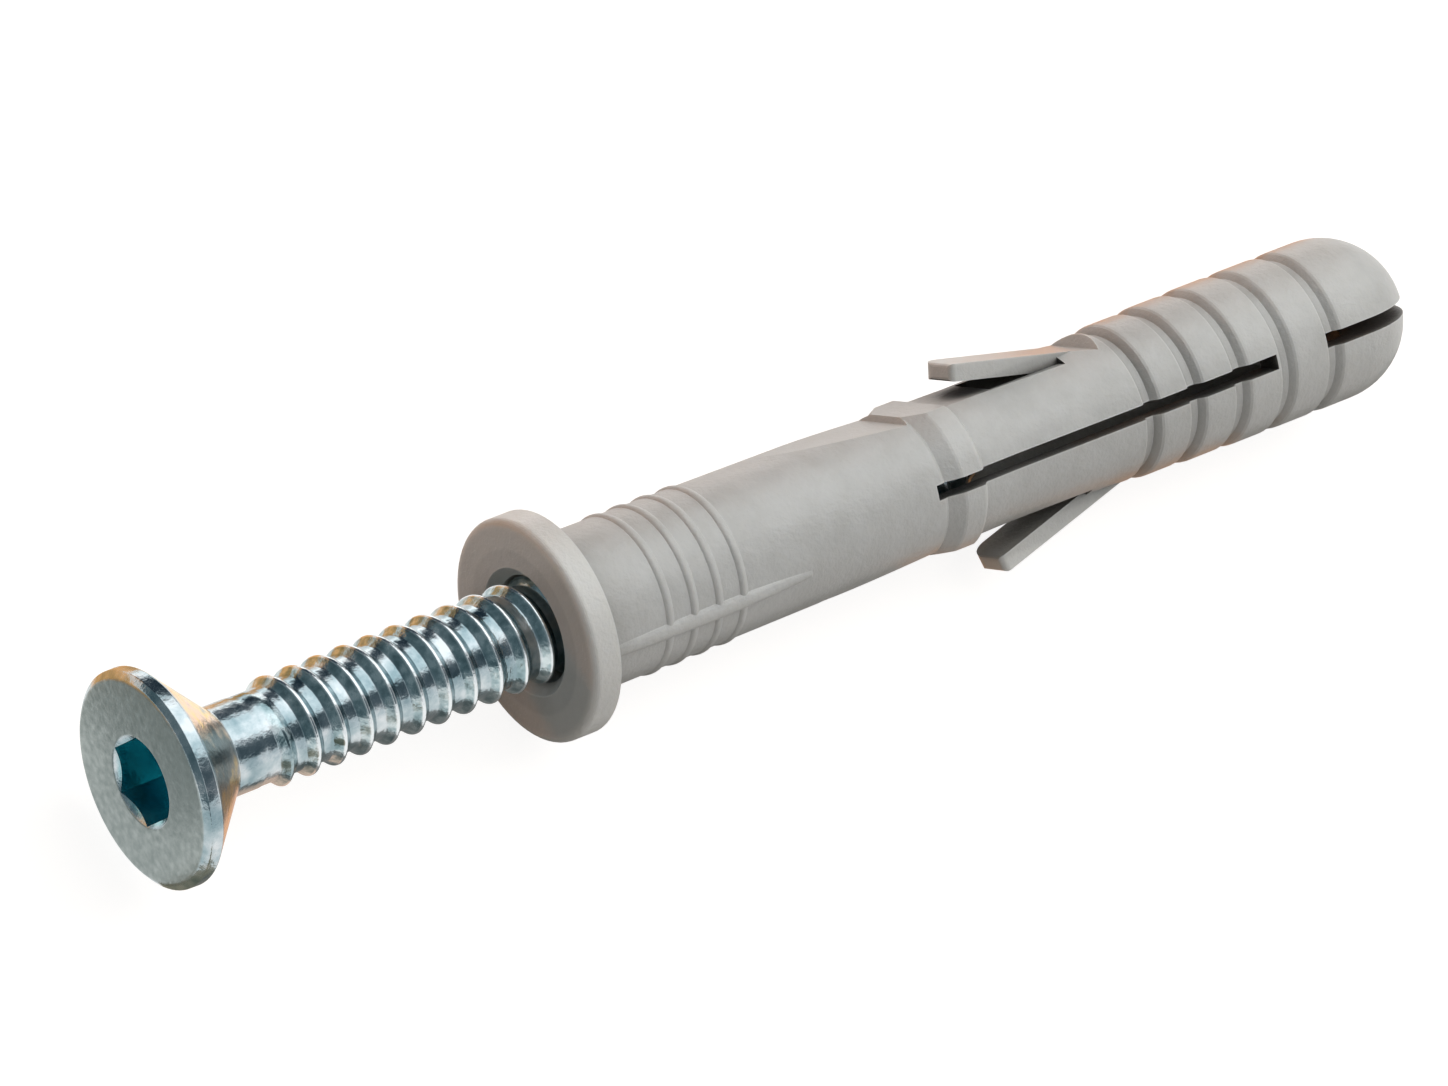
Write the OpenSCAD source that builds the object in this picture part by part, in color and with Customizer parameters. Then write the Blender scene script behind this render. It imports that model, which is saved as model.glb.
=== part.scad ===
// Nylon frame anchor: a slotted expansion sleeve with a collar and two
// anti-rotation wings, and a countersunk hexagon-socket screw started in it.
// Millimetres. +X runs along the axis from the collar to the nose, +Z is up,
// and the origin is the centre of the collar's seat face.
// The anchor lies on its collar and its nose, rolled until one wing is just
// over the surface.

/* [Collar] */
// Diameter of the collar
collar_d = 14.2; // [12:0.1:18]
// Thickness of the collar
collar_t = 1.94; // [1.2:0.02:3]
// How far the collar's front edge is rounded inwards
collar_round = 0.5; // [0.1:0.02:0.8]
// Length of the fillet between the collar's seat and the tube
fillet_len = 0.2; // [0.1:0.05:0.6]
// How far the rounding reaches along the rim
collar_round_len = 0.46; // [0.2:0.02:1]
// Diameter of the screw hole in the collar's face
mouth_d = 8.15; // [7.2:0.05:9.5]

/* [Tube] */
// Diameter of the tube at the collar
tube_d = 10.1; // [9.4:0.1:11]
// Diameter of the tube at its far end
tube_end_d = 9.64; // [9.2:0.02:11]
// Length of the tube, from the collar's seat to the ring
tube_len = 26.7; // [22:0.1:34]
// Diameter of the screw's bore
bore_d = 6.85; // [6.7:0.05:7.2]
// Number of ring ribs near the collar
rib_count = 4; // [0:1:8]
// Distance from the collar's seat to the first ring rib
rib_first = 5.26; // [1.5:0.02:8]
// Spacing of the ring ribs
rib_pitch = 1.87; // [1:0.01:3]
// Width of a ring rib
rib_w = 0.6; // [0.3:0.05:0.9]
// Height of a ring rib
rib_h = 0.14; // [0.05:0.01:0.3]
// Length of the two keel ribs
keel_len = 16.1; // [6:0.1:20]
// Widest part of a keel rib
keel_w = 1.14; // [0.6:0.02:1.8]
// Height of a keel rib
keel_h = 0.3; // [0.1:0.02:0.6]
// Turn of the keel ribs round the axis, from the slots
keel_turn = 22.5; // [12:0.5:60]

/* [Ring] */
// Diameter of the raised ring
ring_d = 10.4; // [9.8:0.1:11.5]
// Width of the ring's top
ring_w = 1.5; // [0.8:0.05:3]
// Length of the ring's sloping front
ring_lead = 1.3; // [0.4:0.05:2]
// Length of the ring's sloping back
ring_back = 0.5; // [0.1:0.05:1]
// Depth of the narrow neck between the tube and the ring
neck_depth = 0.12; // [0.02:0.01:0.3]
// Chamfer along the edges of the tube, the ring and the lands
edge = 0.08; // [0.02:0.01:0.12]

/* [Waist and lands] */
// Diameter of the waist at its thinnest
waist_d = 9.3; // [8.8:0.1:10]
// Distance from the collar's seat to the waist's thinnest place
waist_at = 32.8; // [31:0.1:36]
// Distance from the collar's seat to the end of the first land
land_first = 42.7; // [41:0.1:46]
// Diameter at the end of the first land
land_first_d = 9.76; // [9.2:0.02:10.4]
// Number of lands
land_count = 5; // [3:1:6]
// Distance from the end of one land to the end of the next
land_pitch = 3.46; // [3:0.02:4.2]
// Growth of that distance from land to land
land_growth = 0.14; // [0:0.01:0.2]
// Width of the groove between two lands
groove_w = 1.2; // [0.8:0.05:2]
// Depth of the groove between two lands
groove_depth = 0.36; // [0.1:0.02:0.6]
// Diameter of the last land
nose_d = 10.5; // [9.7:0.1:11]
// Diameter of the domed end
dome_d = 10.54; // [9.2:0.02:11]
// Length of the sleeve behind the collar's seat
sleeve_len = 66.4; // [65:0.1:74]

/* [Slots] */
// Width of the two expansion slots
slot_w = 0.96; // [0.6:0.02:1.6]
// Distance from the collar's seat to the start of the long slot
slot_start = 26.2; // [18:0.1:30]
// Stretch of the fourth land left whole at the long slot's end
slot_bridge = 0.25; // [0.1:0.05:0.6]

/* [Wings] */
// Width of a wing
wing_w = 3.4; // [2.4:0.1:4]
// Thickness of a wing
wing_t = 1.1; // [0.8:0.02:1.4]
// Rounding of the full corner at a wing's free end
wing_corner = 1.5; // [0.8:0.05:1.6]
// Rounding of the other corner at a wing's free end
wing_corner_small = 0.45; // [0.2:0.05:1.6]
// Distance from the collar's seat to the free end of the upper wing
wing_up_tip = 31.3; // [31:0.1:33]
// Height of the upper wing's tip over the axis
wing_up_h = 6.5; // [6:0.05:7]
// Splay of the upper wing
wing_up_angle = 12.3; // [10:0.1:16]
// Distance from the collar's seat to the free end of the lower wing
wing_low_tip = 32.1; // [31:0.1:33]
// Height of the lower wing's tip over the axis
wing_low_h = 7.3; // [6.8:0.05:8]
// Splay of the lower wing
wing_low_angle = 15.5; // [14:0.1:20]
// Rounding of the upper and lower edges at a wing's free end
wing_edge = 0.24; // [0.1:0.02:0.4]
// Length of the ramp that leads over the tube to a wing
ramp_len = 9.3; // [5:0.1:14]
// Height of the ramp's low end over the axis
ramp_h = 4.1; // [3.9:0.01:4.5]
// Height of the flat on the ring over the axis
ring_flat_h = 4.46; // [4.4:0.02:5]
// Height over the axis of the floor under a wing, at the ring
floor_h = 4.22; // [4.1:0.02:4.4]
// Height over the axis of the floor under a wing, at its root
floor_root_h = 4.1; // [4:0.02:4.2]
// Distance from the collar's seat to the window under a wing
window_start = 33.6; // [32.5:0.1:36]
// Length of the window under a wing
window_len = 5.6; // [3:0.1:6.4]
// Gap between a wing and each side of its window
window_gap = 0.12; // [0.05:0.01:0.3]

/* [Screw head] */
// Diameter of the head
head_d = 13.6; // [11.5:0.1:16]
// Height of the head's straight rim
head_rim = 0.75; // [0.4:0.05:2]
// Height of the chamfer round the head's face
head_chamfer_h = 0.36; // [0.1:0.02:0.9]
// Width of the chamfer round the head's face
head_chamfer_w = 0.4; // [0.1:0.02:0.9]
// Angle of the countersunk cone under the head, side to side
head_angle = 90; // [80:1:110]
// Width across the flats of the hexagon socket
socket_af = 5; // [4:0.1:6]
// Depth of the hexagon socket
socket_depth = 3.1; // [2:0.1:4]
// Depth of the round bevel at the socket's mouth
socket_bevel = 0.32; // [0.1:0.02:0.6]
// Turn of the hexagon round the axis
socket_turn = 12; // [0:1:60]

/* [Screw shank and thread] */
// Length of the screw, from the head's face to the point
screw_len = 63.1; // [55:0.1:75]
// Distance from the head's face to the collar's seat, as started
screw_out = 29.64; // [20:0.02:40]
// Diameter of the plain shank
shank_d = 5.65; // [4.8:0.05:5.8]
// Distance from the head's face to the start of the thread
thread_start = 7.88; // [6.5:0.02:12]
// Outer diameter of the thread
thread_d = 6.54; // [6:0.02:6.6]
// Diameter of the thread's root
root_d = 5.56; // [4.6:0.02:5.6]
// Pitch of the thread
thread_pitch = 1.892; // [1.4:0.002:2.6]
// Width of the thread's crest
crest_w = 0.4; // [0.2:0.02:0.6]
// Length along the axis of each flank of the thread
flank_w = 0.42; // [0.2:0.02:0.45]
// Turn of the thread's start round the axis
thread_turn = 74; // [0:1:359]
// Length of the screw's point
point_len = 4.2; // [2.5:0.1:8]

/* [Hidden] */
$fn = 96;
big = 40;

nylon_rgb = [0.74, 0.73, 0.71];
zinc_rgb = [0.72, 0.78, 0.82];

collar_r = collar_d / 2;
mouth_r = mouth_d / 2;
bore_r = bore_d / 2;
head_slope = tan(head_angle / 2);

// Where the parts of the sleeve lie along the axis
ring_start = tube_len + ring_lead;
ring_end = ring_start + ring_w;
waist_start = ring_end + ring_back;
function land_end(i) = land_first + i * land_pitch + i * (i - 1) / 2 * land_growth;
function land_share(i) = 1 - pow(1 - i / (land_count - 1), 2);
function land_r(i) = (land_first_d + (nose_d - land_first_d) * land_share(i)) / 2;
last_land_end = land_end(land_count - 1);
dome_start = last_land_end + groove_w;
dome_r = dome_d / 2;
dome_at = sleeve_len - dome_r;
slot_end = land_end(land_count - 2) - slot_bridge;
function tube_r(s) = (tube_d + (tube_end_d - tube_d) * s / tube_len) / 2;

// A small fillet between tube and collar, just wide enough to take in the
// ends of the keel ribs, so that the seat stays flat
seat_r = tube_r(0) + keel_h + 0.06;
fillet_w = seat_r - tube_r(fillet_len);

// Bore: the screw's point stays clear of its end when the head seats
bore_end = sleeve_len - 4.4;

// The wings: [tip's place, tip's height, splay], and the height of the outer
// face over the axis at a place along it
upper = [wing_up_tip, wing_up_h, wing_up_angle];
lower = [wing_low_tip, wing_low_h, wing_low_angle];
function wing_h(wing, s) = wing[1] - tan(wing[2]) * (s - wing[0]);
window_end = window_start + window_len;

// How far the anchor is rolled: the line that touches the collar's rim and
// the dome gives the height of the axis over the surface, the place on the
// lower wing's rounded corner that needs most room gives the roll at which the
// wing would touch, and the evenly balanced anchor lies a little short of it
roll_back = 6;
lean = asin((collar_r - dome_r) / dome_at);
function corner_turn(a) =
    let (along = wing_corner * (1 - cos(a)) * cos(wing_low_angle),
         side = wing_w / 2 - wing_corner * (1 - sin(a)),
         h = wing_low_h - tan(wing_low_angle) * along,
         floor_gap = collar_r - tan(lean) * (wing_low_tip + along))
    acos(floor_gap / norm([h, side])) + atan(side / h);
rest_turn = -max([for (a = [0:5:90]) corner_turn(a)]) - roll_back;

// The screw, measured from the face of its head
shank_r = shank_d / 2;
cone_start = head_chamfer_h + head_rim;
cone_end = cone_start + (head_d / 2 - shank_r) / head_slope;
socket_corner = socket_af / 2 / cos(30);
thread_h = (thread_d - root_d) / 2;
root_r = root_d / 2;
point_start = screw_len - point_len;
point_slope = (root_r - 0.35) / point_len;

// Radius of the thread's root at a place along the screw
function core_r(x) = x < point_start ? root_r : root_r - (x - point_start) * point_slope;

// A profile drawn as [place along the axis, radius], turned about +X
module turned(points) {
    rotate([0, 90, 0])
        rotate_extrude()
            polygon([for (p = points) [p[1], p[0]]]);
}

// Outline of the collar: flat face, rounded front edge, flat seat
function collar_outline() = concat(
    [[-collar_t, 0]],
    [for (a = [0:15:90])
        [-collar_t + collar_round_len * (1 - cos(a)),
         collar_r - collar_round * (1 - sin(a))]],
    [[0, collar_r]]
);

// Outline of the tube with its ring ribs
function rib_outline(s) = [
    for (k = [-1:0.25:1])
        [s + k * rib_w / 2, tube_r(s) + rib_h * (1 - k * k)]
];
function tube_outline() = concat(
    [[0, seat_r], [fillet_len * 0.3, seat_r - fillet_w * 0.65], [fillet_len, tube_r(fillet_len)]],
    [for (i = [0:1:rib_count - 1]) each rib_outline(rib_first + i * rib_pitch)],
    [[tube_len - edge, tube_r(tube_len)],
     [tube_len + edge / 2, tube_r(tube_len) - edge / 2],
     [tube_len + 0.2, tube_r(tube_len) - neck_depth]]
);

// Outline of the ring and the waist behind it
function ring_outline() = [
    [ring_start - edge, ring_d / 2 - edge / 2],
    [ring_start + edge, ring_d / 2],
    [ring_end - edge, ring_d / 2],
    [ring_end + edge, ring_d / 2 - edge / 2],
    [waist_start, (waist_d + 0.1) / 2],
    [waist_at, waist_d / 2]
];

// Outline of the lands: each ends in a crisp edge and a groove, and the
// groove slopes up to the next
function groove_outline(i) =
    let (e = land_end(i), r = land_r(i), next = i < land_count - 1 ? land_r(i + 1) : dome_r)
    [[e - edge, r],
     [e, r - edge],
     [e + 0.06, r - groove_depth + 0.06],
     [e + 0.14, r - groove_depth],
     [e + groove_w * 0.62, r - groove_depth],
     [e + groove_w - edge, next - edge * 1.2],
     [e + groove_w + edge, next - edge * 0.2],
     [e + groove_w + edge * 3, next]];
function land_outline() = [for (i = [0:1:land_count - 1]) each groove_outline(i)];

module sleeve_body() {
    turned(concat(
        collar_outline(),
        tube_outline(),
        ring_outline(),
        land_outline(),
        [[dome_at, dome_r], [dome_at, 0]]
    ));
    translate([dome_at, 0, 0]) rotate([0, 90, 0]) sphere(dome_r);
}

// A keel rib: a slim spindle sunk in the tube, thickest near its middle, that
// dives under the surface at its end
keel_sink = keel_w * keel_w / 8 / keel_h - keel_h / 2;
keel_r = keel_sink + keel_h;
keel_mid = keel_len * 0.5;
function spindle_r(s) = s < keel_mid
    ? keel_r * (1 - 0.16 * pow((keel_mid - s) / keel_mid, 2))
    : keel_r - keel_h * pow((s - keel_mid) / (keel_len - keel_mid), 2);
module keel_rib() {
    translate([0, 0, tube_r(keel_mid) - keel_sink])
        turned(concat(
            [[-collar_t / 2, 0]],
            [[-collar_t / 2, spindle_r(0)]],
            [for (s = [0:keel_len / 12:keel_len + 0.01]) [s, spindle_r(s)]],
            [[keel_len, 0]]
        ));
}

// What is cut from the sleeve's side for a wing: the ramp over the tube,
// the flat on the ring, the floor under the wing, the scoop behind its
// root, and the window through the wall
module wing_recess(wing) {
    ramp_end = tube_len - 0.1;
    scoop_h = floor_root_h - 0.05;
    scoop_s = wing[0] + (wing[1] - scoop_h) / tan(wing[2]);
    recess_end = land_first - 0.1;
    scoop_bottom = min(scoop_s, recess_end - 0.7);
    rotate([90, 0, 0])
        linear_extrude(height = collar_d, center = true)
            polygon([
                [ramp_end - ramp_len, tube_r(ramp_end - ramp_len) + 0.01],
                [ramp_end, ramp_h],
                [tube_len + 0.2, ring_flat_h],
                [ring_end, ring_flat_h],
                [ring_end + 0.1, floor_h],
                [window_end, floor_root_h],
                [window_end, wing_h(wing, window_end)],
                [scoop_bottom, wing_h(wing, scoop_bottom)],
                [recess_end, land_first_d / 2 + 0.1],
                [recess_end, big],
                [ramp_end - ramp_len, big]
            ]);
    translate([window_start, -wing_w / 2 - window_gap, 0])
        cube([window_len, wing_w + 2 * window_gap, floor_h + 1]);
}

// Outline of a wing: a tongue with two unlike rounded corners at its free end
function corner(r, side) = [
    for (a = side > 0 ? [0:10:90] : [90:-10:0])
        [r * (1 - cos(a)), side * (wing_w / 2 - r * (1 - sin(a)))]
];
module tongue(len) {
    polygon(concat(
        [[len, -wing_w / 2]],
        corner(wing_corner_small, -1),
        corner(wing_corner, 1),
        [[len, wing_w / 2]]
    ));
}

// Side of a wing, seen across it: its free end has two rounded edges
module wing_side(len) {
    polygon(concat(
        [[len, 0]],
        [for (a = [90:-30:0]) [wing_edge * (1 - cos(a)), -wing_edge * (1 - sin(a))]],
        [for (a = [0:30:90]) [wing_edge * (1 - cos(a)), wing_edge * (1 - sin(a)) - wing_t]],
        [[len, -wing_t]]
    ));
}

// A wing: the tongue, splayed out from its root
module wing(wing) {
    len = min((wing[1] - floor_root_h + 0.7) / sin(wing[2]), 11);
    translate([wing[0], 0, wing[1]])
        rotate([0, wing[2], 0])
            intersection() {
                translate([0, 0, -wing_t])
                    linear_extrude(height = wing_t)
                        tongue(len);
                rotate([90, 0, 0])
                    linear_extrude(height = 2 * wing_w, center = true)
                        wing_side(len);
            }
}

module sleeve() {
    color(nylon_rgb)
        rotate([rest_turn, 0, 0])
            difference() {
                union() {
                    difference() {
                        union() {
                            sleeve_body();
                            for (turn = [0, 180])
                                rotate([turn + keel_turn - 90, 0, 0]) keel_rib();
                        }
                        wing_recess(upper);
                        mirror([0, 0, 1]) wing_recess(lower);
                    }
                    wing(upper);
                    mirror([0, 0, 1]) wing(lower);
                }
                // Screw bore with its conical end
                turned([
                    [-collar_t - 1, 0],
                    [-collar_t - 1, mouth_r + 1 / head_slope],
                    [-collar_t, mouth_r],
                    [-collar_t + (mouth_r - bore_r) / head_slope, bore_r],
                    [bore_end - bore_r * 0.6, bore_r],
                    [bore_end, 0]
                ]);
                // The long slot and the slot through the nose
                translate([slot_start, -big / 2, -slot_w / 2])
                    cube([slot_end - slot_start, big, slot_w]);
                translate([last_land_end, -big / 2, -slot_w / 2])
                    cube([big, big, slot_w]);
            }
}

// Threaded rod with its point, one closed surface wound as a helix.
// Each turn has a root land, a rising flank, a crest and a falling flank.
steps = 24;
thread_from = thread_start;
turns = floor((screw_len - 1.2 - thread_from) / thread_pitch);
count = turns * steps;
function ramp(j) = min(1, j / (steps / 2), (count - j) / (steps * 1.5));
function thread_x(j, k) = thread_from + (j / steps) * thread_pitch
    + [-crest_w / 2 - flank_w, -crest_w / 2, crest_w / 2, crest_w / 2 + flank_w][k];
function thread_point(j, k) =
    let (x = thread_x(j, k), a = 360 * j / steps,
         r = core_r(x) + (k == 1 || k == 2 ? thread_h * ramp(j) : 0))
    [x, r * cos(a), r * sin(a)];
rod_from = thread_from - crest_w - flank_w - 0.4;
shank_end = thread_x(0, 0) - 0.15;
function rim_point(x, j) = [x, core_r(x) * cos(360 * j / steps), core_r(x) * sin(360 * j / steps)];
points = concat(
    [for (j = [0:count]) for (k = [0:3]) thread_point(j, k)],
    [for (j = [0:steps - 1]) rim_point(rod_from, j)],
    [[screw_len, 0, 0]]
);
rim_a = 4 * (count + 1);
tip = rim_a + steps;
function at(j, k) = 4 * j + k;
function first(j) = rim_a + j % steps;
end = count - steps;
faces = concat(
    // flanks and crest
    [for (j = [0:count - 1]) for (k = [0:2]) each
        [[at(j, k), at(j, k + 1), at(j + 1, k + 1)], [at(j, k), at(j + 1, k + 1), at(j + 1, k)]]],
    // root land up to the next turn
    [for (j = [0:end - 1]) each
        [[at(j, 3), at(j + steps, 0), at(j + steps + 1, 0)], [at(j, 3), at(j + steps + 1, 0), at(j + 1, 3)]]],
    // from the first rim to the first turn
    [for (j = [0:steps - 2]) each
        [[first(j), at(j, 0), at(j + 1, 0)], [first(j), at(j + 1, 0), first(j + 1)]]],
    [[first(steps - 1), at(steps - 1, 0), at(steps, 0)],
     [first(steps - 1), at(steps, 0), at(0, 3)],
     [first(steps - 1), at(0, 3), at(0, 2)],
     [first(steps - 1), at(0, 2), at(0, 1)],
     [first(steps - 1), at(0, 1), at(0, 0)],
     [first(steps - 1), at(0, 0), first(0)]],
    // from the last turn to the point
    [for (j = [1:steps - 1]) [at(end + j, 3), tip, at(end + j + 1, 3)]],
    [[at(end, 3), at(count, 0), at(end + 1, 3)],
     [at(count, 0), at(count, 1), at(end + 1, 3)],
     [at(count, 1), at(count, 2), at(end + 1, 3)],
     [at(count, 2), at(count, 3), at(end + 1, 3)],
     [at(count, 3), tip, at(end + 1, 3)]],
    [[for (j = [0:steps - 1]) first(j)]]
);

module threaded_rod() {
    rotate([thread_turn, 0, 0]) polyhedron(points, faces, convexity = 10);
}

module screw() {
    color(zinc_rgb)
        rotate([rest_turn, 0, 0])
            translate([-screw_out, 0, 0])
                difference() {
                    union() {
                        turned([
                            [0, 0],
                            [0, head_d / 2 - head_chamfer_w],
                            [head_chamfer_h, head_d / 2],
                            [cone_start, head_d / 2],
                            [cone_end, shank_r],
                            [shank_end, shank_r],
                            [shank_end, 0]
                        ]);
                        threaded_rod();
                    }
                    // Hexagon socket with a round bevel at its mouth
                    rotate([socket_turn, 0, 0])
                        rotate([0, 90, 0])
                            translate([0, 0, -1])
                                linear_extrude(height = socket_depth + 1)
                                    circle(socket_corner, $fn = 6);
                    turned([
                        [-1, 0],
                        [-1, socket_corner + 0.05],
                        [0, socket_corner + 0.05],
                        [socket_bevel, socket_af / 2 - 0.02],
                        [socket_bevel, 0]
                    ]);
                }
}

sleeve();
screw();
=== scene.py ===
import bmesh
import bpy
import numpy as np
from mathutils import Matrix, Vector


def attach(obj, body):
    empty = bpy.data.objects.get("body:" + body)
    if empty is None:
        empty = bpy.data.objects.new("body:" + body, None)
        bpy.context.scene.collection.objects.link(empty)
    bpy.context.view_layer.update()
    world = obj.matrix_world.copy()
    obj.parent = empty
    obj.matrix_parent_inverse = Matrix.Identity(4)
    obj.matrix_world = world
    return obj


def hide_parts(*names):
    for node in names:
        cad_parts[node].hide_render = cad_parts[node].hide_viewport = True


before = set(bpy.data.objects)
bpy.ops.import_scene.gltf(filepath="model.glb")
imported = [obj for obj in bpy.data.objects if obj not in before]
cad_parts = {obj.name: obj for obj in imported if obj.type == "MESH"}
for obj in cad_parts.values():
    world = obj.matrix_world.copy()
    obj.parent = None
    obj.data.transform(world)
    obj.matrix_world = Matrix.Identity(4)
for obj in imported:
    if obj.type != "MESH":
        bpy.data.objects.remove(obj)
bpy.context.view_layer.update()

scene = bpy.context.scene
scene.view_settings.view_transform = "Standard"


# Camera
# A long lens half a metre off, on the head's side and about 51 degrees above
# the floor, turned so that the anchor climbs to the right as in the photo.
def place_camera(position, forward, up, focal_px, frame_px):
    """Camera whose -Z is the forward direction and whose +Y is the up direction."""
    data = bpy.data.cameras.new("view")
    data.sensor_width = 36.0
    data.lens = focal_px / frame_px * data.sensor_width
    data.clip_start, data.clip_end = 0.02, 20.0
    camera = bpy.data.objects.new("view", data)
    scene.collection.objects.link(camera)
    back = -Vector(forward).normalized()
    side = Vector(up).cross(back).normalized()
    rows = Matrix((side, back.cross(side), back)).transposed()
    camera.matrix_world = Matrix.Translation(position) @ rows.to_4x4()
    scene.camera = camera


place_camera(
    position=(-0.2586331, -0.1702176, 0.4042980),
    forward=(0.527070, 0.330874, -0.782764),
    up=(0.309343, 0.783202, 0.539354),
    focal_px=8500.0,
    frame_px=1448.0,
)


# Floor, room and lamps
# A white table in a white room, lit by one large soft panel overhead, a low
# warm one behind and a faint one in front. Grey and warm boards above, around
# and on the table are there only for the anchor's surfaces to reflect.
def new_material(name):
    """A material that uses nodes, and its node tree."""
    material = bpy.data.materials.new(name)
    material.use_nodes = True
    return material, material.node_tree


def feed(tree, source, socket):
    """Links a source to a socket, or sets it there if it is a plain value."""
    if isinstance(source, bpy.types.NodeSocket):
        tree.links.new(source, socket)
    else:
        socket.default_value = source


def combined(tree, operation, *sources):
    """Result of one maths operation on its sources."""
    node = tree.nodes.new("ShaderNodeMath")
    node.operation = operation
    for source, socket in zip(sources, node.inputs):
        feed(tree, source, socket)
    return node.outputs[0]


def dotted(tree, first, second):
    """Dot product of two vectors."""
    node = tree.nodes.new("ShaderNodeVectorMath")
    node.operation = "DOT_PRODUCT"
    feed(tree, first, node.inputs[0])
    feed(tree, second, node.inputs[1])
    return node.outputs["Value"]


def ranged(tree, value, low, high, to_low=0.0, to_high=1.0):
    """A value taken from one range to another and clamped there."""
    node = tree.nodes.new("ShaderNodeMapRange")
    node.inputs["From Min"].default_value = low
    node.inputs["From Max"].default_value = high
    node.inputs["To Min"].default_value = to_low
    node.inputs["To Max"].default_value = to_high
    tree.links.new(value, node.inputs["Value"])
    return node.outputs[0]


def sees_background(tree, share):
    """Value that is share for camera, glossy and transmission rays, else 0."""
    rays = tree.nodes.new("ShaderNodeLightPath").outputs
    seen = combined(tree, "MAXIMUM", rays["Is Camera Ray"], rays["Is Glossy Ray"])
    seen = combined(tree, "MAXIMUM", seen, rays["Is Transmission Ray"])
    return combined(tree, "MULTIPLY", seen, share)


def make_room(low, high, darkest_at, brightest_from, colour):
    """World: white where it is seen. Its light grows from low to high with the
    dot product of its direction and the brightest one, from darkest_at to 1."""
    world = bpy.data.worlds.new("room")
    scene.world = world
    world.use_nodes = True
    tree = world.node_tree
    nodes, links = tree.nodes, tree.links
    nodes.clear()
    where = nodes.new("ShaderNodeTexCoord").outputs["Generated"]
    towards = dotted(tree, where, Vector(brightest_from).normalized())
    lit = nodes.new("ShaderNodeBackground")
    lit.inputs["Color"].default_value = (*colour, 1)
    links.new(ranged(tree, towards, darkest_at, 1.0, low, high), lit.inputs["Strength"])
    seen = nodes.new("ShaderNodeBackground")
    seen.inputs["Color"].default_value = (1, 1, 1, 1)
    mix = nodes.new("ShaderNodeMixShader")
    links.new(sees_background(tree, 1.0), mix.inputs[0])
    links.new(lit.outputs[0], mix.inputs[1])
    links.new(seen.outputs[0], mix.inputs[2])
    out = nodes.new("ShaderNodeOutputWorld")
    links.new(mix.outputs[0], out.inputs["Surface"])


make_room(
    low=0.02,
    high=0.44,
    darkest_at=-0.8,
    brightest_from=(0.45, -0.30, 0.80),
    colour=(0.97, 0.985, 1.0),
)


def flat_sheet(name, corner, across, upwards):
    """One four-sided face whose corners are a corner, that plus each side, and
    that plus both."""
    corner, across, upwards = (np.array(part, float) for part in (corner, across, upwards))
    points = (corner, corner + across, corner + across + upwards, corner + upwards)
    mesh = bpy.data.meshes.new(name)
    mesh.from_pydata([tuple(point) for point in points], [], [(0, 1, 2, 3)])
    sheet = bpy.data.objects.new(name, mesh)
    scene.collection.objects.link(sheet)
    return sheet


def make_floor(level, half_side, colour, glow):
    """One square where the collar's rim touches, white where it is seen lit."""
    side = 2 * half_side
    floor = flat_sheet("table_top", (-half_side, -half_side, level), (side, 0, 0), (0, side, 0))
    material, tree = new_material("white_table")
    nodes, links = tree.nodes, tree.links
    shader = nodes["Principled BSDF"]
    shader.inputs["Base Color"].default_value = (*colour, 1)
    shader.inputs["Roughness"].default_value = 0.7
    shader.inputs["Specular IOR Level"].default_value = 0.0
    shine = nodes.new("ShaderNodeEmission")
    links.new(sees_background(tree, glow), shine.inputs["Strength"])
    both = nodes.new("ShaderNodeAddShader")
    links.new(shader.outputs[0], both.inputs[0])
    links.new(shine.outputs[0], both.inputs[1])
    links.new(both.outputs[0], nodes["Material Output"].inputs["Surface"])
    floor.data.materials.append(material)


make_floor(level=-0.0071, half_side=1.5, colour=(0.35, 0.325, 0.295), glow=0.87)


def panel(name, position, target, size, colour, watts):
    """A rectangular lamp turned to face its target, left out of reflections."""
    data = bpy.data.lights.new(name, "AREA")
    data.shape = "RECTANGLE"
    data.size, data.size_y = size
    data.color = colour
    data.energy = watts
    lamp = bpy.data.objects.new(name, data)
    lamp.visible_glossy = lamp.visible_camera = False
    scene.collection.objects.link(lamp)
    aim = Vector(target) - Vector(position)
    turned = aim.to_track_quat("-Z", "Y").to_matrix()
    lamp.matrix_world = Matrix.Translation(position) @ turned.to_4x4()


middle = (0.018, 0.0, 0.0)
panel("overhead", (0.27, 0.03, 0.43), middle, size=(0.56, 0.62), colour=(1.0, 1.0, 0.995), watts=1.9)
panel("warm_behind", (-0.18, 0.42, 0.03), middle, size=(0.40, 0.07), colour=(1.0, 0.38, 0.12), watts=0.38)
panel("front_low", (0.08, -0.36, 0.05), middle, size=(0.30, 0.06), colour=(1.0, 0.97, 0.92), watts=0.03)


def board(name, corner, across, upwards, colour):
    """A flat glowing board of one colour that shows only in reflections."""
    sheet = flat_sheet(name, corner, across, upwards)
    sheet.visible_camera = sheet.visible_diffuse = False
    sheet.visible_shadow = sheet.visible_transmission = False
    material, tree = new_material(name + "_paint")
    tree.nodes.clear()
    paint = tree.nodes.new("ShaderNodeEmission")
    paint.inputs["Color"].default_value = (*colour, 1)
    out = tree.nodes.new("ShaderNodeOutputMaterial")
    tree.links.new(paint.outputs[0], out.inputs["Surface"])
    sheet.data.materials.append(material)


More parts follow.
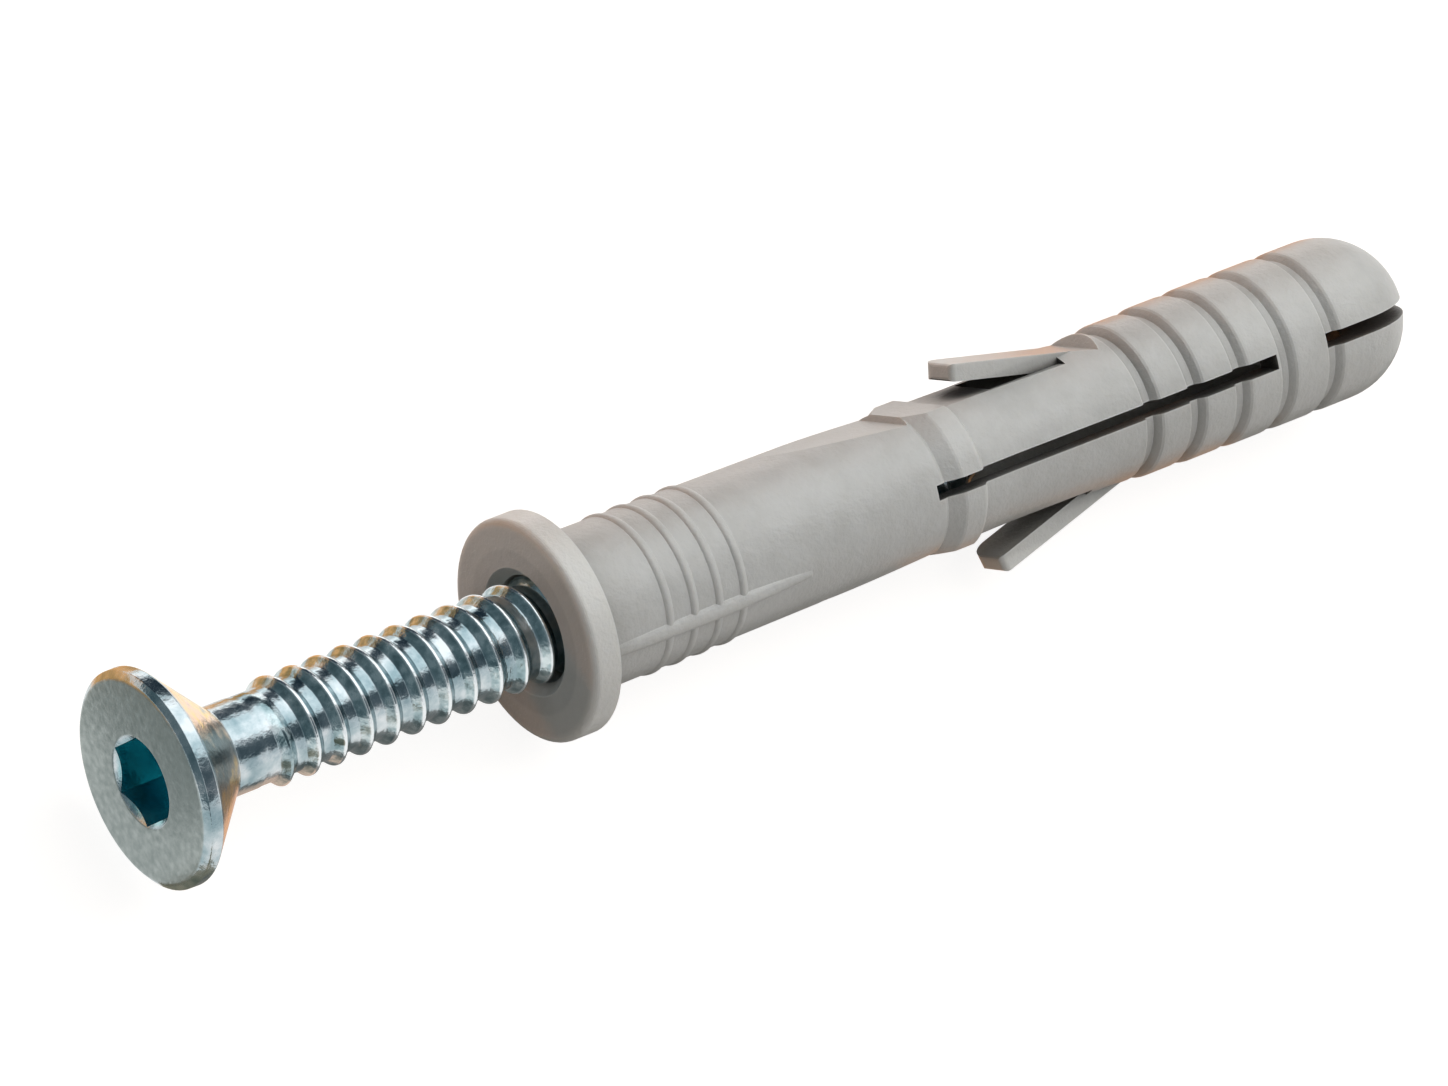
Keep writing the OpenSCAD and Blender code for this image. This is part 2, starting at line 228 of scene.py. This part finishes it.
# Name, corner, side across, side upwards and colour of each board
boards = (
    ("board_above", (-0.15, -0.12, 0.40), (0.9, 0, 0), (0, 0.53, 0), (1.52, 1.57, 1.58)),
    ("board_behind", (-0.4, 0.50, 0.045), (1.2, 0, 0), (0, -0.08, 0.29), (0.03, 0.05, 0.07)),
    ("board_front", (-0.1, -0.42, 0.19), (0.9, 0, 0), (0, 0.25, 0.20), (0.10, 0.13, 0.15)),
    ("board_under", (-0.027, -0.009, -0.0068), (0.10, 0, 0), (0, 0.015, 0), (0.22, 0.22, 0.21)),
    ("board_rim", (-0.034, -0.03, -0.0068), (0.0095, 0, 0), (0, 0.026, 0), (0.30, 0.27, 0.20)),
    ("board_face", (-0.12, -0.001, -0.0069), (0.086, 0, 0), (0, 0.06, 0), (0.38, 0.42, 0.42)),
    ("board_warm", (-0.50, 0.40, -0.0068), (0.56, 0.03, 0), (0, 0.01, 0.06), (0.80, 0.42, 0.18)),
    ("board_warm_low", (-0.075, 0.013, -0.0067), (0.069, 0, 0), (0, 0.05, 0), (0.95, 0.50, 0.20)),
    ("board_warm_sleeve", (0.047, 0.005, -0.0067), (0.026, 0, 0), (0, 0.020, 0), (1.3, 0.50, 0.15)),
    ("board_back_low", (0.012, 0.036, -0.0066), (0.16, 0, 0), (0, 0.30, 0), (2.3, 2.25, 2.2)),
    ("board_warm_under", (0.028, -0.010, -0.0067), (0.026, 0, 0), (0, 0.009, 0), (0.75, 0.36, 0.16)),
    ("board_cone", (-0.0235, -0.006, -0.0066), (0.0065, 0, 0), (0, 0.007, 0), (0.80, 0.58, 0.46)),
    ("board_left", (-0.30, -0.5, -0.005), (0, 1.0, 0), (0.05, 0, 0.42), (0.16, 0.21, 0.23)),
)
for name, corner, across, upwards, colour in boards:
    board(name, corner, across, upwards, colour)


# Sleeve
# The expansion sleeve with its collar, slots and two wings: one injection
# moulding in light warm-grey nylon, with the fine matt skin of the mould.
def shader_group(name, inputs, outputs):
    """An empty shader node group with float and vector sockets by name."""
    group = bpy.data.node_groups.new(name, "ShaderNodeTree")
    kinds = {"float": "NodeSocketFloat", "vector": "NodeSocketVector"}
    for socket, kind, value in inputs:
        made = group.interface.new_socket(socket, in_out="INPUT", socket_type=kinds[kind])
        if value is not None:
            made.default_value = value
    for socket, kind in outputs:
        group.interface.new_socket(socket, in_out="OUTPUT", socket_type=kinds[kind])
    return group, group.nodes.new("NodeGroupInput"), group.nodes.new("NodeGroupOutput")


def clouded_skin():
    """Skin of a made surface: cloud is soft noise between 0 and 1, and grain is
    fine noise for bump. Their sizes are in millimetres."""
    group, given, out = shader_group(
        "clouded_skin",
        [("Coordinates", "vector", None), ("Cloud size", "float", 2.0), ("Grain size", "float", 0.1)],
        [("Cloud", "float"), ("Grain", "float")],
    )
    for output, detail in (("Cloud", 5.0), ("Grain", 2.0)):
        per_metre = combined(group, "DIVIDE", 1000.0, given.outputs[output + " size"])
        noise = group.nodes.new("ShaderNodeTexNoise")
        noise.inputs["Detail"].default_value = detail
        group.links.new(given.outputs["Coordinates"], noise.inputs["Vector"])
        group.links.new(per_metre, noise.inputs["Scale"])
        group.links.new(noise.outputs["Fac"], out.inputs[output])
    return group


skin = clouded_skin()


def use_skin(tree, where, cloud_mm, grain_mm):
    """The clouded skin placed in a material: its outputs, by name."""
    node = tree.nodes.new("ShaderNodeGroup")
    node.node_tree = skin
    tree.links.new(where, node.inputs["Coordinates"])
    node.inputs["Cloud size"].default_value = cloud_mm
    node.inputs["Grain size"].default_value = grain_mm
    return node.outputs


def edge_highlight_and_hollow_shade():
    """Masks for painted edge highlights and painted hollow shade: edge grows from 0
    to 1 as the normal, rounded over the radius, leaves the true one; open is 1 on free faces and falls in
    slots."""
    group, given, out = shader_group(
        "edge_highlight_and_hollow_shade",
        [("Radius", "float", 0.0001), ("Reach", "float", 0.001)],
        [("Edge", "float"), ("Open", "float")],
    )
    nodes, links = group.nodes, group.links
    rounded = nodes.new("ShaderNodeBevel")
    links.new(given.outputs["Radius"], rounded.inputs["Radius"])
    flat = nodes.new("ShaderNodeNewGeometry")
    agree = dotted(group, rounded.outputs[0], flat.outputs["Normal"])
    links.new(ranged(group, agree, 0.995, 0.93), out.inputs["Edge"])
    around_it = nodes.new("ShaderNodeAmbientOcclusion")
    around_it.samples = 8
    around_it.only_local = True
    links.new(given.outputs["Reach"], around_it.inputs["Distance"])
    links.new(around_it.outputs["AO"], out.inputs["Open"])
    return group


edges = edge_highlight_and_hollow_shade()


def use_edges(tree, radius, reach):
    """The painted edge highlight and hollow shade masks placed in a material, in metres: its outputs, by
    name.
    """
    node = tree.nodes.new("ShaderNodeGroup")
    node.node_tree = edges
    node.inputs["Radius"].default_value = radius
    node.inputs["Reach"].default_value = reach
    return node.outputs


def colour_ramp(tree, value, stops):
    """Colours by position between 0 and 1, blended along a value."""
    ramp = tree.nodes.new("ShaderNodeValToRGB")
    elements = ramp.color_ramp.elements
    while len(elements) < len(stops):
        elements.new(0.5)
    for element, (place, colour) in zip(elements, stops):
        element.position = place
        element.color = (*colour, 1)
    tree.links.new(value, ramp.inputs[0])
    return ramp.outputs["Color"]


def blended(tree, share, first, second):
    """Blend of two colours by a share; either may be a plain colour."""
    node = tree.nodes.new("ShaderNodeMix")
    node.data_type = "RGBA"
    tree.links.new(share, node.inputs["Factor"])
    sockets = (socket for socket in node.inputs if socket.type == "RGBA")
    for colour, socket in zip((first, second), sockets):
        feed(tree, (*colour, 1) if isinstance(colour, tuple) else colour, socket)
    return next(socket for socket in node.outputs if socket.type == "RGBA")


def axis_distance(tree, where):
    """Distance of a point from the X axis: the length of its (y, z)."""
    across = tree.nodes.new("ShaderNodeVectorMath")
    across.operation = "MULTIPLY"
    across.inputs[1].default_value = (0, 1, 1)
    tree.links.new(where, across.inputs[0])
    length = tree.nodes.new("ShaderNodeVectorMath")
    length.operation = "LENGTH"
    tree.links.new(across.outputs[0], length.inputs[0])
    return length.outputs["Value"]


def bump(tree, shader, scaled, share, added, strength, distance):
    """Bumps a shader's normal by one height times its share, plus another."""
    node = tree.nodes.new("ShaderNodeBump")
    node.inputs["Strength"].default_value = strength
    node.inputs["Distance"].default_value = distance
    tree.links.new(combined(tree, "MULTIPLY_ADD", scaled, share, added), node.inputs["Height"])
    tree.links.new(node.outputs[0], shader.inputs["Normal"])


# Tones of the nylon and of its painted highlights and shade, and distances from the axis in metres
# between which the painted highlight on the ribs and wings grows, the wings' tips take a brighter painted
# highlight, and the painted shade in the slots fades
cloud_tones = [(0.15, (0.498, 0.493, 0.470)), (0.5, (0.535, 0.531, 0.510)), (0.85, (0.568, 0.565, 0.546))]
raised_highlight_tone, tip_highlight_tone, nylon_edge_highlight_tone = (0.70, 0.69, 0.655), (0.93, 0.91, 0.85), (0.70, 0.695, 0.675)
hollow_shade_tone, slot_shade_tone = (0.26, 0.248, 0.225), (0.025, 0.023, 0.020)
raised_highlight_r, tip_highlight_r, slot_shade_r = (0.0050, 0.0070), (0.0071, 0.0082), (0.0053, 0.0059)
raised_highlight_steps = [(0.06, 0.0), (0.17, 0.40), (0.70, 0.45), (0.86, 1.0)]


def grey_nylon():
    """Nylon: warm grey clouded by a few per cent, with painted highlights where it stands out from the
    tube, on the wings' tips and on its edges, painted shade in its hollows, near black in its slots, and
    a grained skin."""
    material, tree = new_material("grey_nylon")
    shader = tree.nodes["Principled BSDF"]
    where = tree.nodes.new("ShaderNodeTexCoord").outputs["Object"]
    off_axis = axis_distance(tree, where)
    fine = use_skin(tree, where, 1.3, 0.13)
    broad = use_skin(tree, where, 9.0, 0.35)
    painted_light_masks = use_edges(tree, 0.00016, 0.004)

    clouds = combined(tree, "ADD", fine["Cloud"], broad["Cloud"])
    tone = colour_ramp(tree, ranged(tree, clouds, 0.6, 1.4), cloud_tones)
    # Painted highlight: ribs, ring, collar rim and wings paler as they stand out from the tube
    raised_highlight_greys = [(place, (grey, grey, grey)) for place, grey in raised_highlight_steps]
    raised_highlight = colour_ramp(tree, ranged(tree, off_axis, *raised_highlight_r), raised_highlight_greys)
    tone = blended(tree, raised_highlight, tone, raised_highlight_tone)
    # Painted highlight: the wings' tips paler still
    tone = blended(tree, ranged(tree, off_axis, *tip_highlight_r, 0.0, 0.95), tone, tip_highlight_tone)
    # Painted highlight along the edges
    tone = blended(tree, painted_light_masks["Edge"], tone, nylon_edge_highlight_tone)
    # Painted shade in grooves and hollows
    tone = blended(tree, ranged(tree, painted_light_masks["Open"], 0.5, 0.98, 0.68, 0.0), tone, hollow_shade_tone)
    # Painted shade, near black, deep in the slots near the tube
    slot_shade_share = ranged(tree, painted_light_masks["Open"], 0.36, 0.80, 1.0, 0.0)
    near_tube = ranged(tree, off_axis, *slot_shade_r, 1.0, 0.15)
    tone = blended(tree, combined(tree, "MULTIPLY", slot_shade_share, near_tube), tone, slot_shade_tone)
    tree.links.new(tone, shader.inputs["Base Color"])

    matt = ranged(tree, fine["Cloud"], 0.3, 0.7, 0.34, 0.46)
    dull_in_slots = ranged(tree, painted_light_masks["Open"], 0.15, 0.6, 1.0, 0.3)
    tree.links.new(combined(tree, "MAXIMUM", matt, dull_in_slots), shader.inputs["Roughness"])
    shader.inputs["Specular IOR Level"].default_value = 0.5
    shader.inputs["Subsurface Weight"].default_value = 0.12
    shader.inputs["Subsurface Radius"].default_value = (1.0, 0.75, 0.5)
    shader.inputs["Subsurface Scale"].default_value = 0.0006
    bump(tree, shader, fine["Grain"], 0.35, broad["Grain"], strength=0.6, distance=0.00007)
    return material


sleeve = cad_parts["sleeve"]
sleeve.data.materials.clear()
sleeve.data.materials.append(grey_nylon())


# Screw
# The countersunk screw: turned and rolled steel with a hexagon socket, bright
# zinc plated with a bluish, in places yellow, passivation. It is wound here
# with rounded edges and fine steps in place of the faceted solid.

# Sizes are in millimetres and degrees, and places along it count from its face.
# Face before the collar's seat, turn round the axis, and columns of the mesh
screw_out, rest_turn, around = 29.64, -51.1691, 96
millimetre = 0.001
# Head: face, chamfer, rim and 45 degree cone, with softened edges
head_r, face_r, chamfer_h, rim_h = 6.8, 6.4, 0.36, 0.75
middle_r, face_edge_w, face_edge_h, chamfer_edge_w, edge_round = 4.6, 0.16, 0.04, 0.02, 0.07
# Socket: hexagon's apothem, its walls' foot, and the round bevel of its mouth
socket_r, socket_depth, socket_turn = 2.5, 3.1, 12.0
first_corner, wall_foot = socket_turn + 30.0, socket_depth - 0.05
bevel_r, bevel_end_r, bevel_h = socket_r / np.cos(np.pi / 6) + 0.05, 2.48, 0.32
lip_h, lip_from, lip_to = 0.004, 0.03, 0.1
# Shank and thread: the root starts just after the shank, and a point ends it
shank_r, thread_rows_from, shank_end, root_from = 2.825, 6.8, 7.0, 7.2
root_r, crest_r, crest_w, flank_w = 2.78, 3.27, 0.14, 0.55
pitch, thread_start, thread_turn, turn_count = 1.892, 7.88, 74.0, 28
run_in_turns, run_out_turns = 0.5, 1.5
point_start, point_r, screw_len = 58.9, 0.35, 63.1


def softened(profile, radius):
    """A profile whose inner corners are each cut back by the radius and bent
    through the quarter points of a parabola between the two cuts."""
    points = np.array(profile, float)
    corner = points[1:-1, None]
    cuts = []
    for side in (points[:-2, None] - corner, points[2:, None] - corner):
        length = np.linalg.norm(side, axis=2, keepdims=True)
        cuts.append(corner + side / length * np.minimum(radius, 0.45 * length))
    t = np.linspace(0, 1, 5)[None, :, None]
    bent = (1 - t) ** 2 * cuts[0] + 2 * t * (1 - t) * corner + t ** 2 * cuts[1]
    return np.concatenate([points[:1], bent.reshape(-1, 2), points[-1:]])


def head_rows(angle):
    """Place and radius of the head's rows over the angle: the socket's dished
    floor, its walls and its bevel, then the face, chamfer, rim and cone turned
    round the axis. The hexagon's radius is its apothem divided by the cosine of
    the angle to the nearest flat, and the bevel cuts its corners deepest."""
    hexagon = socket_r / np.cos(np.radians((angle - first_corner) % 60 - 30))
    bevel_depth = (bevel_r - hexagon) * bevel_h / (bevel_r - bevel_end_r)
    floor_share = np.array([0, 0.25, 0.5, 0.75, 0.94, 1.0])[:, None]
    floor_dish = np.array([0.45, 0.33, 0.2, 0.08, 0.0, -0.05])[:, None]
    wall_share = np.array([0.03, 0.25, 0.5, 0.75, 0.97, 1.0])[:, None]
    bevel_share = np.array([0.25, 0.5, 0.75, 0.93])[:, None]
    cone_start = chamfer_h + rim_h
    turned = softened([
        (lip_h, bevel_r + lip_from),
        (0, bevel_r + lip_to),
        (0, middle_r),
        (0, face_r - face_edge_w),
        (face_edge_h, face_r),
        (chamfer_h, head_r - chamfer_edge_w),
        (cone_start, head_r),
        (cone_start + head_r - shank_r, shank_r),
        (thread_rows_from, shank_r),
    ], edge_round)
    whole = np.ones_like(angle)
    place = np.concatenate([
        (socket_depth + floor_dish) * whole,
        wall_foot + wall_share * (bevel_depth - wall_foot),
        bevel_depth * (1 - bevel_share),
        turned[:, :1] * whole,
    ])
    radius = np.concatenate([
        floor_share * hexagon,
        np.ones_like(wall_share) * hexagon,
        hexagon + (bevel_r - hexagon) * bevel_share,
        turned[:, 1:] * whole,
    ])
    return place, radius


def thread_rows(angle):
    """Place and radius of the thread's rows over the angle, and how many rows a
    turn has. A row goes one pitch along in each turn, and its radius is the
    core's plus the thread's height times the share that its profile has there,
    which fades at both ends of the thread."""
    # From the groove's middle to the crest: distance from the crest's middle, and
    # share of the height, with the flank's foot and top eased
    half, foot, top = pitch / 2, crest_w / 2 + flank_w, crest_w / 2
    side = np.array([
        half, (half + foot) / 2, foot + 0.03, foot - 0.015, foot - 0.07,
        (foot + top) / 2, top + 0.06, top + 0.02, top - 0.03,
    ])
    rise = np.array([0.0, 0.0, 0.0, 0.025, 0.12, 0.50, 0.89, 0.96, 1.0])
    profile_place = np.concatenate([-side, [0.0], side[:0:-1]])
    profile_share = np.concatenate([rise, [1.0], rise[:0:-1]])
    turns = np.arange(-1, turn_count + 3)
    turn = np.repeat(turns, len(profile_place))[:, None]
    wound = turn + (angle - thread_turn) / 360.0
    place = thread_start + pitch * wound + np.tile(profile_place, len(turns))[:, None]
    fade = np.clip(np.minimum(wound / run_in_turns, (turn_count - wound) / run_out_turns), 0, 1)
    height = np.tile(profile_share, len(turns))[:, None] * fade * (crest_r - root_r)
    core = np.interp(
        place, [shank_end, root_from, point_start, screw_len], [shank_r, root_r, root_r, point_r])
    radius = np.where(place >= thread_rows_from, core + height, shank_r)
    radius = np.where(place >= screw_len, 0.0, radius)
    return np.clip(place, thread_rows_from, screw_len), radius, len(profile_place)


def screw_surface():
    """The rows of the head and the thread joined by quads over the angle round
    the axis. Where a turn closes, each thread row meets the one a turn later.
    Returns vertices and faces."""
    angle = first_corner + 360.0 / around * np.arange(around)
    head_place, head_radius = head_rows(angle)
    thread_place, thread_radius, rows_per_turn = thread_rows(angle)
    place = np.concatenate([head_place, thread_place])
    radius = np.concatenate([head_radius, thread_radius])
    turned = np.radians(angle + rest_turn)
    vertices = np.stack([place - screw_out, radius * np.cos(turned), radius * np.sin(turned)], axis=2)

    index = np.arange(place.size).reshape(place.shape)
    row = np.arange(len(place))
    row_a_turn_later = np.where(row >= len(head_place), row + rows_per_turn, row)
    beside = np.roll(index, -1, axis=1)
    beside[:, -1] = index[np.minimum(row_a_turn_later, len(place) - 1), 0]
    faces = np.stack([index[:-1], beside[:-1], beside[1:], index[1:]], axis=2)
    return vertices.reshape(-1, 3) * millimetre, faces.reshape(-1, 4)


def closed_mesh(name, vertices, faces, sharp_degrees):
    """A mesh with its doubles merged, faces outwards, smooth between sharp edges."""
    mesh = bpy.data.meshes.new(name)
    mesh.from_pydata(vertices.tolist(), [], faces.tolist())
    work = bmesh.new()
    work.from_mesh(mesh)
    bmesh.ops.remove_doubles(work, verts=work.verts, dist=1e-7)
    bmesh.ops.recalc_face_normals(work, faces=work.faces)
    for face in work.faces:
        face.smooth = True
    work.to_mesh(mesh)
    work.free()
    mesh.set_sharp_from_angle(angle=np.radians(sharp_degrees))
    piece = bpy.data.objects.new(name, mesh)
    scene.collection.objects.link(piece)
    return piece


def from_face(*places):
    """Places along X in metres, from millimetres behind the screw's face."""
    return tuple((place - screw_out) * millimetre for place in places)


# Stretches of the screw, and distances from its axis in metres, over which one
# look of the plating gives way to the next
face_end, thread_from = from_face(0.01, 0.06), from_face(7.14, 7.64)
cone_from, cone_to = from_face(1.14, 1.44), from_face(4.84, 5.14)
socket_mouth, socket_end = from_face(0.09, 0.44), from_face(3.44, 3.64)
plain_root_r, socket_wall_r, crest_highlight_r = (0.00281, 0.00290), (0.00293, 0.00296), (0.00317, 0.00323)
# Tones of the plating with its painted highlights, shade and reflections, and the side from which the
# cone's painted bands and the socket's painted shade are counted
painted_shading_side = (0, 0.921, 0.389)
crest_highlight_tone, zinc_edge_highlight_tone = (0.74, 0.79, 0.81), (0.74, 0.80, 0.81)
satin_tones = [(0.3, (0.255, 0.303, 0.295)), (0.5, (0.298, 0.344, 0.336)), (0.7, (0.355, 0.403, 0.394))]
rolled_tones = [(0.34, (0.235, 0.33, 0.365)), (0.5, (0.41, 0.495, 0.53)), (0.66, (0.63, 0.68, 0.705))]
flank_teal_and_shade_tones = [(0.36, (0.17, 0.26, 0.28)), (0.5, (0.32, 0.43, 0.455)), (0.62, (0.58, 0.68, 0.70))]
socket_teal_and_shade_tones = [(0.1, (0.28, 0.78, 0.82)), (0.5, (0.14, 0.56, 0.62)), (0.9, (0.05, 0.30, 0.37))]
passivation_and_reflection_tones = [
    (0.12, (0.78, 0.60, 0.50)),
    (0.26, (1.0, 0.60, 0.22)),
    (0.38, (0.36, 0.30, 0.25)),
    (0.48, (0.16, 0.18, 0.17)),
    (0.60, (0.20, 0.22, 0.20)),
    (0.74, (0.95, 0.66, 0.46)),
    (0.86, (1.0, 0.72, 0.26)),
    (0.97, (0.48, 0.46, 0.42)),
]


def bright_zinc():
    """Zinc plate: a satin clouded face, brighter turned and rolled metal, yellow
    passivation streaks on the cone mixed with painted reflections in light and dark
    bands, teal flanks with painted shade and painted highlights on the crests of the
    thread, a teal socket with painted shade, painted highlights on edges and fine
    scratches. The cone's bands and the socket's shade go by the cosine of the angle
    between a point's side of the axis and one side."""
    material, tree = new_material("bright_zinc")
    shader = tree.nodes["Principled BSDF"]
    shader.inputs["Metallic"].default_value = 1.0
    where = tree.nodes.new("ShaderNodeTexCoord").outputs["Object"]
    off_axis = axis_distance(tree, where)
    toward_painted_shading_side = combined(tree, "DIVIDE", dotted(tree, where, painted_shading_side), off_axis)
    split = tree.nodes.new("ShaderNodeSeparateXYZ")
    tree.links.new(where, split.inputs[0])
    along = split.outputs["X"]
    fine = use_skin(tree, where, 0.5, 0.12)
    broad = use_skin(tree, where, 1.6, 0.35)
    patchy = use_skin(tree, where, 0.8, 0.2)
    painted_light_masks = use_edges(tree, 0.00009, 0.0008)

    on_face = ranged(tree, along, *face_end, 1.0, 0.0)
    satin = colour_ramp(tree, fine["Cloud"], satin_tones)
    colour = blended(tree, on_face, colour_ramp(tree, broad["Cloud"], rolled_tones), satin)

    # Yellow passivation on the cone, mixed with painted reflections: light and dark bands by the side of
    # the axis
    past_rim = ranged(tree, along, *cone_from)
    before_shank = ranged(tree, along, *cone_to, 0.9, 0.0)
    waved = combined(tree, "MULTIPLY_ADD", broad["Cloud"], 1.3, toward_painted_shading_side)
    passivation_and_reflections = colour_ramp(tree, ranged(tree, waved, -0.35, 1.65), passivation_and_reflection_tones)
    colour = blended(tree, combined(tree, "MULTIPLY", past_rim, before_shank), colour, passivation_and_reflections)

    # Painted shade on the thread's flanks, in the plating's teal, and painted highlights on its crests
    on_thread = ranged(tree, along, *thread_from)
    flank = combined(tree, "MULTIPLY", on_thread, ranged(tree, off_axis, *plain_root_r, 0.0, 0.75))
    colour = blended(tree, flank, colour, colour_ramp(tree, patchy["Cloud"], flank_teal_and_shade_tones))
    crest_highlight = combined(tree, "MULTIPLY", on_thread, ranged(tree, off_axis, *crest_highlight_r))
    colour = blended(tree, crest_highlight, colour, crest_highlight_tone)

    # Socket in the plating's teal with painted shade: darker towards the painted shading side, lighter
    # away from it
    near_axis = ranged(tree, off_axis, *socket_wall_r, 1.0, 0.0)
    in_socket = combined(tree, "MULTIPLY", near_axis, ranged(tree, along, *socket_end, 1.0, 0.0))
    in_socket = combined(tree, "MULTIPLY", in_socket, ranged(tree, along, *socket_mouth))
    socket_teal_and_shade = colour_ramp(tree, ranged(tree, toward_painted_shading_side, -1.0, 1.0), socket_teal_and_shade_tones)
    colour = blended(tree, in_socket, colour, socket_teal_and_shade)
    # Painted highlight along the edges
    colour = blended(tree, combined(tree, "MULTIPLY", painted_light_masks["Edge"], 0.5), colour, zinc_edge_highlight_tone)
    tree.links.new(colour, shader.inputs["Base Color"])

    stretched = tree.nodes.new("ShaderNodeMapping")
    stretched.inputs["Scale"].default_value = (2500, 2500, 260)
    stretched.inputs["Rotation"].default_value = (0.6, 0, 0)
    tree.links.new(where, stretched.inputs["Vector"])
    scratches = tree.nodes.new("ShaderNodeTexNoise")
    scratches.inputs["Scale"].default_value = 1.0
    scratches.inputs["Detail"].default_value = 3.0
    tree.links.new(stretched.outputs[0], scratches.inputs["Vector"])
    polished = ranged(tree, broad["Cloud"], 0.3, 0.7, 0.13, 0.27)
    matt = ranged(tree, fine["Cloud"], 0.3, 0.7, 0.42, 0.3)
    tree.links.new(blended(tree, on_face, polished, matt), shader.inputs["Roughness"])
    bump(tree, shader, scratches.outputs["Fac"], 0.6, broad["Grain"], strength=0.6, distance=0.00004)
    return material


wound_screw = closed_mesh("wound_screw", *screw_surface(), sharp_degrees=32)
wound_screw.data.materials.append(bright_zinc())
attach(wound_screw, "screw")
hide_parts("screw")
